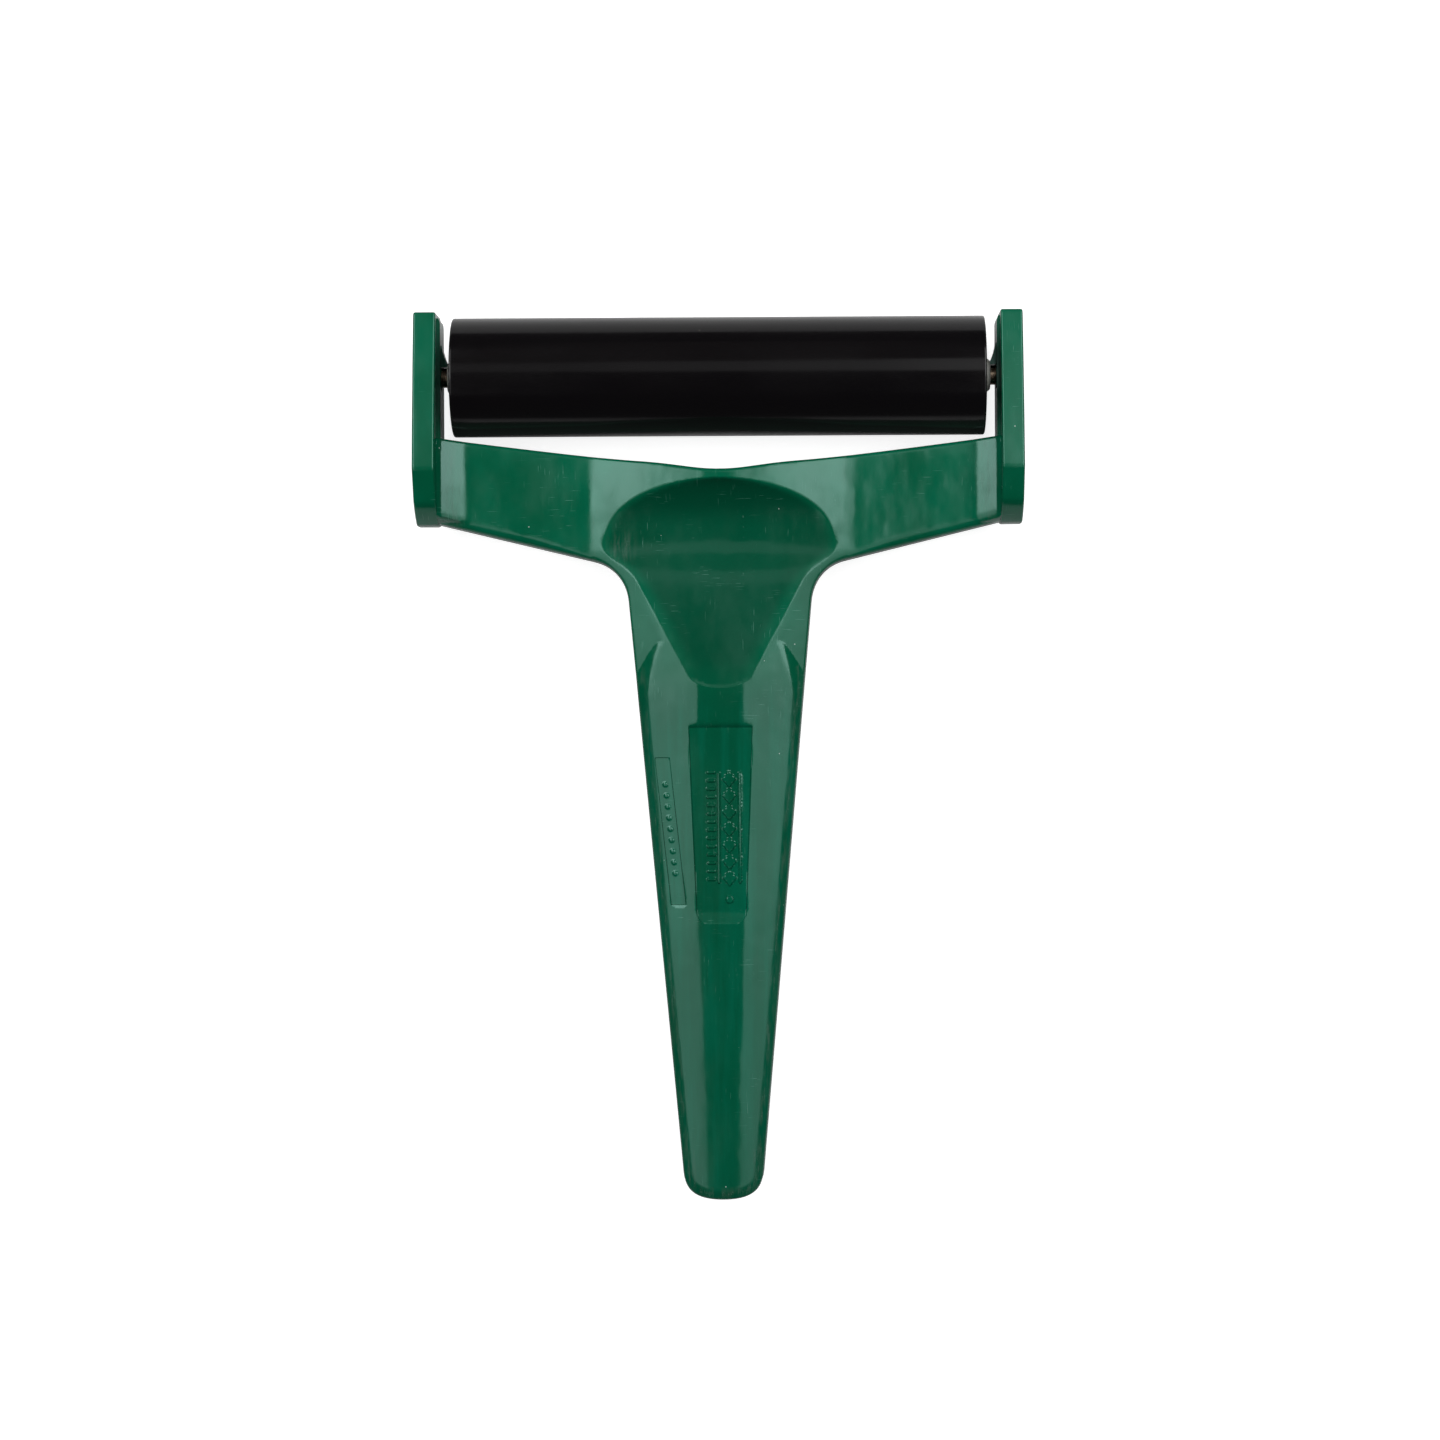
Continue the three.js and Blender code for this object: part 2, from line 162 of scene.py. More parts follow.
def arm_back(x):
    """The y of the arm's straight back edge."""
    return ARM_BACK - ARM_SWEEP * (CHEEK_INNER - x)


def pulled(end, corner):
    """A control point between a fillet's end and the corner that it rounds."""
    return tuple(np.array(end) * 0.36 + np.array(corner) * 0.64)


def front_edge():
    """The crossbar's front edge, from left to right: straight arms with a soft dip in the middle."""
    dip = bezier((0, -19.4), (5.2, -19.4), (8, -18.35), (17, -17.6), 40)
    arm = bezier(dip[-1], (24, -17.0), (40, -15.05), (BEYOND, -11.85), 60)
    half = np.vstack([dip, arm[1:]])
    left = half[::-1] * (-1, 1)
    return resample(np.vstack([left[:-1], half]), OUTLINE_STEP)


def back_edge():
    """From the right arm's end round the handle's end to the left arm's end."""
    corner_x = 19.35
    corner = (corner_x, arm_back(corner_x))
    arm_x = 26.0
    arm_end = (arm_x, arm_back(arm_x))
    neck_y = NECK_Y - 0.8
    neck = (handle_half(neck_y), neck_y)
    fillet = bezier(arm_end, pulled(arm_end, corner), pulled(neck, corner), neck, 24)
    side_y = -164.6
    side_end = (handle_half(side_y), side_y)
    tip = bezier(side_end, (8.25, -168.6), (6.6, HANDLE_END + 0.02), (0, HANDLE_END), 30)
    half = np.vstack([[(BEYOND, arm_back(BEYOND))], fillet, tip])
    left = half[::-1] * (-1, 1)
    return resample(np.vstack([half, left[1:]]), OUTLINE_STEP)


EDGES = [front_edge(), back_edge()]


def line_normals(points):
    """Unit normals on the right of a line's direction."""
    tangent = np.gradient(points, axis=0)
    tangent /= np.hypot(*tangent.T)[:, None]
    return np.column_stack([tangent[:, 1], -tangent[:, 0]])


def edge_radius(y):
    """The small radius between the wall and the top, where the outline is at y."""
    return 0.75 - 0.3 * smooth_step(-y, 36, 42)


def bevel_width(y):
    """The width of the worn bevel inside that radius: on the arms and the grip, not on the shoulders."""
    arms = 1.9 * smooth_step(-y, 26, 29) * (1 - smooth_step(-y, 35.0, 41.0))
    grip = np.interp(y, *GRIP_BEVEL)
    return arms + grip * (y < -50)


def under_radius(y):
    """The radius between the wall and the underside."""
    return 1.6 + 1.4 * smooth_step(-y, 42, 60)


def clip_ends(line):
    """The part of an outline between the slab's two ends, with its own ends put exactly there."""
    inside = np.abs(line[:, 0]) < SLAB_HALF
    first, last = np.flatnonzero(inside)[[0, -1]]
    out = [line[first : last + 1]]
    for a, b, at_start in ((first - 1, first, True), (last + 1, last, False)):
        if 0 <= a < len(line):
            side = math.copysign(SLAB_HALF, line[b, 0])
            t = (side - line[b, 0]) / (line[a, 0] - line[b, 0])
            end = [[side, line[b, 1] + t * (line[a, 1] - line[b, 1])]]
            out = [end, *out] if at_start else [*out, end]
    return np.vstack(out)


ROUNDING_ANGLES = np.radians([0, 13, 26, 39, 52, 65, 78, 90])
BEVEL_RINGS = (1.0, 1.4, 1.8, 2.2, 2.6, 3.1)  # how far inside the outline the bevel has points


def rings(radius):
    """For each edge, lines that run inside the outline, where its rounding and bevel need points."""
    found = []
    for edge, inside_is in zip(EDGES, (-1, 1)):
        normals = line_normals(edge)
        inward = normals * math.copysign(1, inside_is * normals[len(normals) // 2, 1])
        r = radius(edge[:, 1])[:, None]
        offsets = [np.zeros_like(r), r * 0 + PART_LEDGE, r * 0 + PART_LEDGE + 0.04]
        offsets += [PART_LEDGE + DRAFT + r * (1 - math.cos(a)) for a in ROUNDING_ANGLES]
        rounded = offsets[-1]
        offsets += [np.maximum(rounded + width * 0.33, width) for width in BEVEL_RINGS]
        found.append([clip_ends(edge + inward * offset) for offset in offsets])
    return found


ON_OUTLINE = 0.003  # points nearer to the outline than this are taken to be on it


def inside_by(points):
    """How far points lie inside the outline, and the y of the outline's nearest point."""
    chunk = 4000
    near = np.full(len(points), np.inf)
    near_y = np.zeros(len(points))
    for edge in EDGES:
        a, b = edge[:-1], edge[1:]
        along = b - a
        length = (along**2).sum(1)
        for start in range(0, len(points), chunk):
            p = points[start : start + chunk, None, :]
            t = np.clip(((p - a) * along).sum(2) / length, 0, 1)
            nearest = a + t[..., None] * along
            distance = np.hypot(*(p - nearest).transpose(2, 0, 1))
            best = distance.argmin(1)
            rows = np.arange(len(best))
            closer = distance[rows, best] < near[start : start + chunk]
            where = start + rows[closer]
            near[where] = distance[rows, best][closer]
            near_y[where] = nearest[rows, best, 1][closer]
    near[near < ON_OUTLINE] = 0
    return near, near_y


# ---- the frame's height surfaces --------
def crown_middle(y):
    """The height of the crown along its middle."""
    fall = (HEAD_TOP - END_TOP) / (CROWN_RUN - HANDLE_END)
    return HEAD_TOP - fall * soft_ramp(CROWN_RUN - y, 4)


def fold_half(y):
    """Half the distance between the folds where the bands meet the facets."""
    return np.interp(y, [HEEL_START, -114.0, -60.0], [3.3, 4.9, 7.2])


def flat_half(y):
    """Half the width of the flat strip along the crown's middle."""
    return np.interp(y, [HEEL_START, -116.0, -64.0], [3.2, 4.1, 4.3])


def arm_foot(x):
    """The reach of the fold between the head's facet and the arm, which is sharper on the left."""
    return np.where(x < 0, 0.9, 2.2)


def crown_drop(x, y):
    """How far the crown at x is below its middle: strip, band and facet, a rounder head, then the arm."""
    side = np.abs(x)
    turn = np.interp(y, [HEEL_START, -116.0, -64.0], [2.6, 1.8, 0.5])
    band = BAND_SLOPE * soft_ramp(side - flat_half(y) - BAND_OFFSET, turn)
    grip = band + (FACET_SLOPE - BAND_SLOPE) * soft_ramp(side - fold_half(y), FOLD_REACH)
    head = 0.1 * soft_ramp(side - 1.3, 2.2) + 0.00225 * (side**2 - np.maximum(side - 20.0, 0) ** 2)
    share = smooth_step(y, -40.0, -26.0)
    crown = head * share + grip * (1 - share)
    arm_slope = np.where(x < 0, 0.006, 0.05)
    arm = arm_slope * (soft_ramp(side - CROWN_HALF, 2.2) - soft_ramp(side - 44.0, 9.0))
    return crown - FACET_SLOPE * soft_ramp(side - CROWN_HALF, arm_foot(x)) + arm


def bowl_reach(y):
    return np.where(y > BOWL["y"], BOWL["front"], BOWL["back"])


def bowl_half(y):
    """Half the bowl's width: an ellipse, which runs on along its tangent inside the trough."""
    off = (y - BOWL["y"]) / bowl_reach(y)
    ellipse = BOWL["half"] * np.sqrt(np.clip(1 - off**2, 0, 1))
    straight = BOWL["half"] * (0.8 - 0.75 * (-off - 0.6))  # the tangent where off is -0.6
    return np.where(off < -0.6, np.maximum(straight, 0), ellipse)


def trough_half(y):
    """Half the width of the trough, which widens towards the bowl."""
    return TROUGH["half"] + TROUGH["spread"] * (y - TROUGH["half_at"])


def scoop_depth(x, y):
    """Depth of the thumb scoop below the crown's middle: an oval bowl that runs into a tapering trough."""
    half = bowl_half(y)
    dish = BOWL["dish"] * (1 + 1.3 * smooth_step(y, -38, -27))
    bowl = crown_drop(half, y) + dish * (half**2 - x**2)
    bowl = bowl - 1.2 * np.maximum(0, y - BOWL["y"] - bowl_reach(y))
    width = np.clip(trough_half(y), 0, CROWN_HALF)
    end = TROUGH["end"] + TROUGH["end_curve"] * np.minimum(np.abs(x), 9) ** 2
    trough = np.maximum(crown_drop(width, y), TROUGH["rise"] * (y - end))
    trough = soft_min(trough, 0.5 * (y - end), 0.08)
    trough = trough - 0.6 * soft_ramp(y - BOWL["y"] + 1.5, 2.5)
    both = (np.maximum(bowl, 0) ** 4 + np.maximum(trough, 0) ** 4) ** 0.25
    return np.where((bowl > 0) | (trough > 0), both, np.maximum(bowl, trough))


def label_inside(x, y):
    """How far inside the label recess's outline a point is; negative outside."""
    share = (y - LABEL["back"]) / (LABEL["front"] - LABEL["back"])
    half = LABEL["back_half"] + (LABEL["front_half"] - LABEL["back_half"]) * share
    side = half - np.abs(x)
    corner = LABEL["corner"]
    back = y - LABEL["back"]
    rounded = corner - np.hypot(np.minimum(side - corner, 0), np.minimum(back - corner, 0))
    both = np.where((side < corner) & (back < corner), rounded, np.minimum(side, back))
    return np.minimum(both, 0.35 * (LABEL["front"] - y))


def label_floor(x, y):
    """The recess's tub: a flat floor, steep sides and a long sloping wall at its back."""
    floor = crown_middle(y) - LABEL["depth"]
    steep = 2.2 * np.maximum(0, -label_inside(x, y))
    slope = 0.2 * soft_ramp(LABEL["back"] + 2.6 - y, 0.3)
    return floor + np.minimum(steep + slope, 5) - label_relief(x, y)


def raised_bar(x, y, middle_x, middle_y, half_x, half_y):
    """1 on a raised bar with round ends, 0 off it."""
    reach = min(half_x, half_y)
    off_x = np.maximum(0, np.abs(x - middle_x) - (half_x - reach))
    off_y = np.maximum(0, np.abs(y - middle_y) - (half_y - reach))
    return smooth_step(reach - np.hypot(off_x, off_y), -0.08, 0.12)


def raised_lozenge(x, y, middle_x, middle_y, half):
    return smooth_step(half - np.abs(x - middle_x) - 0.8 * np.abs(y - middle_y), -0.08, 0.16)


def label_relief(x, y):
    """A plain pattern of raised lozenges, rails and ticks on the label's floor, as a negative depth."""
    raised = raised_bar(x, y, 3.85, -93.5, 0.28, 11.5) + raised_bar(x, y, -0.45, -93.5, 0.28, 11.5)
    for middle_y in np.arange(-83.4, -104.5, -3.4):
        raised = raised + raised_lozenge(x, y, 1.7, middle_y, 1.45)
    for middle_y in np.arange(-82.0, -105.0, -1.7):
        raised = raised + raised_bar(x, y, -2.0, middle_y, 0.95, 0.34)
    raised = raised + raised_bar(x, y, 1.7, -108.3, 0.8, 0.8)
    return -0.32 * np.clip(raised, 0, 1)


def stamp_inside(x, y):
    """How far inside the strip's outline a point is, and the x of the strip's middle there."""
    share = (y - STAMP["back"]) / (STAMP["front"] - STAMP["back"])
    middle = STAMP["back_x"] + (STAMP["front_x"] - STAMP["back_x"]) * share
    side = STAMP["half"] - np.abs(x - middle)
    return np.minimum(np.minimum(side, y - STAMP["back"]), STAMP["front"] - y), middle


def stamp_floor(x, y, crown):
    """A strip recessed into the left facet, deeper towards its back, with a row of small raised dots."""
    inside, middle = stamp_inside(x, y)
    share = np.clip((y - STAMP["back"]) / (STAMP["front"] - STAMP["back"]), 0, 1)
    depth = 0.42 - 0.24 * share
    dots = np.zeros_like(x)
    for y_dot in np.arange(-84.5, -104.0, -2.3):
        dots = np.maximum(dots, smooth_step(0.5 - np.hypot(x - middle, y - y_dot), -0.12, 0.2))
    return crown - depth + 0.2 * dots + 2.5 * np.maximum(0, -inside)


def cheek_top(y):
    """The cheek's top edge: a long bulging slope up to the crest, a facet behind it, and a rounded end."""
    front = CREST_Z - 0.094 * (y - CREST_Y) - 0.00155 * (y - CREST_Y) ** 2
    behind = CREST_Z - 0.5 * (CREST_Y - y)
    behind = behind - 0.28 * np.maximum(0, -26.0 - y) ** 1.7
    return np.minimum(front, behind)


def edge_fall(inside, radius):
    """How far the rounded edge is below the surface it rounds, at a distance inside the wall's top."""
    t = np.clip(1 - inside / radius, 0, 1)
    return radius * (1 - np.sqrt(1 - t * t))


def parting_height(y):
    """The height of the parting line, which runs round the frame's walls."""
    return np.interp(y, [HANDLE_END, -45.0, -38.0], [5.4, 11.0, 11.4])


def with_wall(surface, at_wall, inside, y):
    """Adds the drafted wall outside the rounded edge, and the parting line's small bead around it."""
    parting = parting_height(y)
    side = np.sign(at_wall - parting)
    bead = parting + side * inside
    bead_edge = parting + side * PART_LEDGE
    share = np.clip((inside - PART_LEDGE) / DRAFT, 0, 1)
    wall = bead_edge + (at_wall - bead_edge) * share
    outside = np.where(inside <= PART_LEDGE, bead, wall)
    return np.where(inside >= PART_LEDGE + DRAFT, surface, outside)


def gusset_rise(x):
    """The arm's rise towards the cheek: a sloping gusset, and a small round fillet against the wall."""
    side = np.abs(x)
    start = CHEEK_INNER - np.where(x < 0, 5.8, 4.9)
    slope = 0.36 * soft_ramp(side - start, np.where(x < 0, 1.3, 0.9))
    into = np.clip(side - (CHEEK_INNER - 1.0), 0, 0.9)
    return slope + 1.0 - np.sqrt(1.0 - into**2)


def frame_top(points):
    """The height of the top at each (x, y) point."""
    x, y = points.T
    inside, near_y = inside_by(points)
    crown = crown_middle(y) - crown_drop(x, y)
    fillet = gusset_rise(x)
    below_cheek = np.minimum(crown + fillet, np.maximum(crown, cheek_top(y) - 0.04))
    body = np.where(fillet > 0, below_cheek, crown)
    rim = 0.05 + 0.25 * np.exp(-((x / 9) ** 2)) * (y > -26)
    body = soft_min(body, crown_middle(y) - scoop_depth(x, y), rim)
    body = np.where(label_inside(x, y) > -0.6, np.minimum(body, label_floor(x, y)), body)
    stamp, _ = stamp_inside(x, y)
    body = np.where(stamp > -0.6, np.minimum(body, stamp_floor(x, y, body)), body)

    beyond_wall = np.maximum(0, inside - PART_LEDGE - DRAFT)
    radius = edge_radius(near_y)
    edge = edge_fall(beyond_wall, radius)
    arm_bevel = BEVEL_SLOPE * soft_ramp(bevel_width(near_y) - inside, 0.8)
    grip_bevel = BEVEL_SLOPE * soft_ramp(np.interp(y, *GRIP_BEVEL) - inside, 0.7)
    shoulder = np.where(y > -44, arm_bevel, 0) + shoulder_sink(x, y)
    fall = edge + np.where(y < -44, np.minimum(shoulder, grip_bevel), shoulder)
    return with_wall(body - fall, body - fall, inside, near_y)


def shoulder_sink(x, y):
    """How far the shoulder's facet is below the crown; it ends where the grip's edge takes over."""
    past = 0.91 * (np.abs(x) - CRESCENT["x"]) - 0.41 * (y - CRESCENT["tip"])
    facet = 0.17 * soft_ramp(past, 0.5) * (y > -70) * (np.abs(x) < CROWN_HALF)
    fade = smooth_step(-y, 36, 44)
    return facet * fade + 4 * np.maximum(0, CRESCENT["end"] + 1.0 - y)


def under_line(y):
    """The height of the underside along the handle: flat under the heel, then rising to the crossbar."""
    return np.interp(y, [HEEL_START, -40.0], [0.0, CROSSBAR_BOTTOM])


def frame_bottom(points):
    """The height of the underside at each (x, y) point."""
    x, y = points.T
    inside, near_y = inside_by(points)
    radius = under_radius(near_y)
    beyond_wall = np.maximum(0, inside - PART_LEDGE - DRAFT)
    body = under_line(y)
    for mark_x, mark_y in EJECTOR_MARKS:
        inside_mark = EJECTOR["radius"] - np.hypot(x - mark_x, y - mark_y)
        body = body + EJECTOR["depth"] * smooth_step(inside_mark, 0, 0.3)
    rounded = body + edge_fall(beyond_wall, radius)
    at_wall = np.where(inside < PART_LEDGE + DRAFT, body + radius, rounded)
    return with_wall(rounded, at_wall, inside, near_y)


# ---- from height surfaces to a closed mesh --------
def fill_points(low, high, step, keep):
    """A hexagonal grid of points where keep() is true."""
    rows = np.arange(low[1], high[1], step * 0.866)
    columns = np.arange(low[0], high[0], step)
    grid = np.array([(x + (i % 2) * step / 2, y) for i, y in enumerate(rows) for x in columns])
    return grid[keep(grid)]


def far_from(points, lines, distance):
    """True for the points that lie farther than the distance from all the lines' points."""
    tree_points = np.vstack(lines)
    tree = KDTree(len(tree_points))
    for i, (x, y) in enumerate(tree_points):
        tree.insert((x, y, 0), i)
    tree.balance()
    return np.array([tree.find((x, y, 0))[2] > distance for x, y in points], bool)


def triangulated(boundary, lines, points):
    """Vertices and triangles inside a closed boundary, with the lines as edges."""
    co, edges = [], []
    for line, closed in [(boundary, True), *[(line, False) for line in lines]]:
        first = len(co)
        co.extend(line)
        edges += [(first + i, first + i + 1) for i in range(len(line) - 1)]
        if closed:
            edges.append((first + len(line) - 1, first))
    co.extend(points)
    result = delaunay_2d_cdt([Vector(p) for p in co], edges, [], 1, 1e-5, False)
    flat = np.array([tuple(v) for v in result[0]])
    triangles = np.array(result[2])
    middles = flat[triangles].mean(axis=1)
    return flat, triangles[inside_polygon(middles, boundary)]


def inside_polygon(points, polygon):
    x, y = points.T
    inside = np.zeros(len(points), bool)
    for (ax, ay), (bx, by) in zip(polygon, np.roll(polygon, -1, axis=0)):
        if ay == by:
            continue
        crosses = (ay > y) != (by > y)
        inside ^= crosses & (x < (bx - ax) * (y - ay) / (by - ay) + ax)
    return inside


def offset_line(line, distance):
    return line + line_normals(line) * distance


def along_y(half, y):
    """A line whose x is half wherever y is."""
    return np.column_stack([0 * y + half, y])


def feature_lines():
    """Lines along the top's folds and rims, a few side by side where the surface turns quickly."""
    lines = []
    y = np.arange(-20.5, HANDLE_END + 4, -LINE_STEP)
    y_arm = np.arange(-19.3, -36.0, -LINE_STEP)
    y_gusset = np.arange(-15.6, -28.6, -LINE_STEP)
    crescent = bezier((CRESCENT["x"], CRESCENT["tip"]), (14.3, -55.9), (16.2, -59.3), (17.0, -61.6), 24)
    for sign in (-1, 1):
        for shift in (-FOLD_REACH, 0, FOLD_REACH):
            lines.append(along_y(sign * (fold_half(y) + shift), y))
            lines.append(along_y(sign * (flat_half(y) + BAND_OFFSET + 1.2 * shift), y))
        foot = arm_foot(sign)
        for shift in (-foot, 0, foot):
            lines.append(along_y(sign * (CROWN_HALF + shift), y_arm))
        for into in (6.7, 6.1, 5.4, 4.8, 4.1, 3.0, 2.0, 1.1, 0.85, 0.6, 0.4, 0.2):
            lines.append(along_y(sign * (CHEEK_INNER - into), y_gusset))
        for shift in (-0.15, 0.15):
            lines.append(offset_line(crescent, shift) * (sign, 1))
    return lines + scoop_rims() + label_lines()


def scoop_rims():
    """Lines along both sides of the bowl's rim, the trough's rims and the trough's end."""
    t = np.linspace(-math.pi / 2, math.pi / 2, 120)
    oval = np.column_stack([BOWL["half"] * np.sin(t), BOWL["y"] + BOWL["front"] * np.cos(t)])
    y = np.linspace(BOWL["y"], -38.4, 16)
    lower = np.column_stack([bowl_half(y), y])
    y = np.linspace(-38.6, TROUGH["half_at"], 40)
    side = np.column_stack([trough_half(y), y])
    found = []
    for shift in (-0.4, -0.15, 0.15, 0.4):
        found.append(offset_line(resample(oval, 0.6), shift))
        for part in (lower, side):
            shifted = offset_line(resample(part, 0.6), shift)
            found += [shifted, shifted * (-1, 1)]
    for shift in (-0.12, 0, 0.12, 0.4):
        x = np.linspace(-6.0, 6.0, 24)
        found.append(np.column_stack([x, TROUGH["end"] + TROUGH["end_curve"] * x**2 + shift]))
    return found


def label_lines():
    """Lines along the rims of the label recess and of the strip, from just outside to just inside."""
    found = []
    for shift in (-0.28, -0.14, 0.0, 0.2):
        front, back = LABEL["front"] - shift, LABEL["back"] + shift
        front_half, back_half = LABEL["front_half"] - shift, LABEL["back_half"] - shift
        corner = LABEL["corner"] - shift
        middle = (back_half - corner, back + corner)
        angles = np.linspace(0, math.pi / 2, 9)
        arc = [(middle[0] + corner * math.cos(a), middle[1] - corner * math.sin(a)) for a in angles]
        line = resample([(0, front), (front_half, front), *arc, (0, back)], 0.5)
        found += [line, line * (-1, 1)]
        across = STAMP["half"] - shift
        front, back = STAMP["front"] - shift, STAMP["back"] + shift
        corners = [(STAMP["back_x"] + sign * across, back) for sign in (-1, 1)]
        corners += [(STAMP["front_x"] + sign * across, front) for sign in (1, -1)]
        found.append(resample([*corners, corners[0]], 0.5))
    return found


def in_label(grid):
    return label_inside(*grid.T) > 0.3


def in_stamp(grid):
    return stamp_inside(*grid.T)[0] > 0.3


def top_points(fill):
    """The points for the top: the given ones outside the label and the strip, and finer ones inside."""
    label = fill_points((-6, LABEL["back"]), (6, LABEL["front"]), LABEL_STEP, in_label)
    stamp = fill_points((-14, STAMP["back"]), (-7, STAMP["front"]), STAMP_STEP, in_stamp)
    outside = (label_inside(*fill.T) < 0.2) & (stamp_inside(*fill.T)[0] < 0.2)
    return np.vstack([fill[outside], label, stamp])


def add_surface(bm, shared, flat, heights, triangles, up):
    """Adds one surface to the mesh and returns its vertices; vertices on the parting line are shared."""
    made = []
    for (x, y), z in zip(flat, heights):
        key = (round(x, 4), round(y, 4))
        on_outline = key in shared and abs(shared[key].co.z - z) < 1e-4
        if not on_outline:
            vertex = bm.verts.new((x, y, z))
            if up:
                shared[key] = vertex
        made.append(shared[key] if on_outline else vertex)
    for a, b, c in triangles:
        corners = [made[i] for i in ((a, b, c) if up else (c, b, a))]
        pair = bm.faces.get(corners)
        if pair:
            bmesh.ops.delete(bm, geom=[pair], context="FACES")
        else:
            bm.faces.new(corners)
    return made


def end_vertices(vertices, side):
    """The vertices on the flat end of the arm on one side."""
    return [v for v in vertices if abs(v.co.x - side * SLAB_HALF) < 1e-4]


def slab_mesh():
    """The handle and crossbar as one closed mesh: a top and an underside that share the parting line."""
    top_rings, under_rings = rings(edge_radius), rings(under_radius)
    outline = np.vstack([top_rings[0][0], top_rings[1][0]])
    bm = bmesh.new()
    shared = {}
    surfaces = []
    for height_at, ring_set, step, features in (
        (frame_top, top_rings, TOP_STEP, feature_lines()),
        (frame_bottom, under_rings, UNDER_STEP, []),
    ):
        up = height_at is frame_top
        lines = [line for edge in ring_set for line in edge[1:]] + features
        fill = fill_points(outline.min(0), outline.max(0), step, lambda grid: inside_polygon(grid, outline))
        if up:
            fill = top_points(fill)
        fill = fill[far_from(fill, [outline, *lines], step * 0.4)]
        flat, triangles = triangulated(outline, lines, fill)
        surfaces.append(add_surface(bm, shared, flat, height_at(flat), triangles, up))
    top, under = surfaces
    for side in (-1, 1):
        upper = sorted(end_vertices(top, side), key=lambda v: v.co.y)
        lower = sorted(end_vertices(under, side), key=lambda v: -v.co.y)
        bm.faces.new(list(dict.fromkeys(upper + lower)))
    bmesh.ops.recalc_face_normals(bm, faces=bm.faces)
    bmesh.ops.triangulate(bm, faces=[f for f in bm.faces if len(f.verts) > 4])
    return bm


def cheek_mesh(side):
    """One cheek: its profile in (y, z), made solid along x, with rounded rims."""
    y = np.linspace(CHEEK_FRONT - 0.7, CREST_Y, 44)
    top = list(zip(y, cheek_top(y)))
    y = np.linspace(CREST_Y, CHEEK_BACK + 0.25, 26)[1:]
    top += list(zip(y, cheek_top(y)))
    low_back = bezier(
        (CHEEK_BACK, 10), (CHEEK_BACK, 7.6),
        (CHEEK_BACK + 1, CHEEK_BOTTOM), (CHEEK_BACK + 4, CHEEK_BOTTOM), 8,
    )
    low_front = bezier(
        (CHEEK_FRONT - 2.5, CHEEK_BOTTOM), (CHEEK_FRONT - 0.8, CHEEK_BOTTOM),
        (CHEEK_FRONT, CHEEK_BOTTOM + 0.8), (CHEEK_FRONT, CHEEK_BOTTOM + 2.5), 8,
    )
    front_z = top[0][1]
    nose = bezier(
        (CHEEK_FRONT, front_z - 1.2), (CHEEK_FRONT, front_z - 0.4),
        (CHEEK_FRONT - 0.2, front_z - 0.05), top[0], 5,
    )
    profile = [*top, (CHEEK_BACK, top[-1][1] - 0.9), *low_back, *low_front, *nose[:-1]]
    bm = bmesh.new()
    inner = [bm.verts.new((side * CHEEK_INNER, y, z)) for y, z in profile]
    outer = [bm.verts.new((side * CHEEK_OUTER, y, z)) for y, z in profile]
    rims = [bm.faces.new(inner), bm.faces.new(outer)]
    for i in range(len(profile)):
        j = (i + 1) % len(profile)
        bm.faces.new((inner[i], inner[j], outer[j], outer[i]))
    bmesh.ops.recalc_face_normals(bm, faces=bm.faces)
    bmesh.ops.bevel(
        bm, geom=[edge for face in rims for edge in face.edges],
        offset=CHEEK_RIM, segments=3, profile=0.5, affect="EDGES", clamp_overlap=True,
    )
    bmesh.ops.triangulate(bm, faces=[f for f in bm.faces if len(f.verts) > 4])
    return bm


# ---- objects --------
def mesh_object(name, bm, material):
    """Makes an object from a bmesh in millimetres about the axle, in the shared frame."""
    for vertex in bm.verts:
        vertex.co = (Vector((0, AXLE.y, 0)) + vertex.co) / MM
    mesh = bpy.data.meshes.new(name)
    bm.to_mesh(mesh)
    bm.free()
    mesh.materials.append(material)
    obj = bpy.data.objects.new(name, mesh)
    bpy.context.scene.collection.objects.link(obj)
    return obj


def apply_modifiers(obj):
    graph = bpy.context.evaluated_depsgraph_get()
    mesh = bpy.data.meshes.new_from_object(obj.evaluated_get(graph))
    obj.modifiers.clear()
    obj.data = mesh


def shade(obj, degrees):
    """Smooth shading with sharp creases, weighted so that large flat faces stay flat."""
    obj.data.shade_smooth()
    obj.data.set_sharp_from_angle(angle=math.radians(degrees))
    modifier = obj.modifiers.new("flat faces", "WEIGHTED_NORMAL")
    modifier.keep_sharp = True
    apply_modifiers(obj)


def turned_mesh(profile, segments):
    """A ring, or a rod where the first radius is 0, turned about the roller's axis from [x, radius]."""
    bm = bmesh.new()
    angles = [2 * math.pi * i / segments for i in range(segments)]
    circles = []
    for x, radius in profile:
        if radius == 0:
            circles.append([bm.verts.new((x, 0, AXLE.z))] * segments)
            continue
        places = [(x, radius * math.cos(a), AXLE.z + radius * math.sin(a)) for a in angles]
        circles.append([bm.verts.new(place) for place in places])
    ring = profile[0][1] > 0
    for k in range(len(profile) if ring else len(profile) - 1):
        here, there = circles[k], circles[(k + 1) % len(profile)]
        for i in range(segments):
            j = (i + 1) % segments
            bm.faces.new(list(dict.fromkeys((here[i], here[j], there[j], there[i]))))
    bmesh.ops.recalc_face_normals(bm, faces=bm.faces)
    return bm


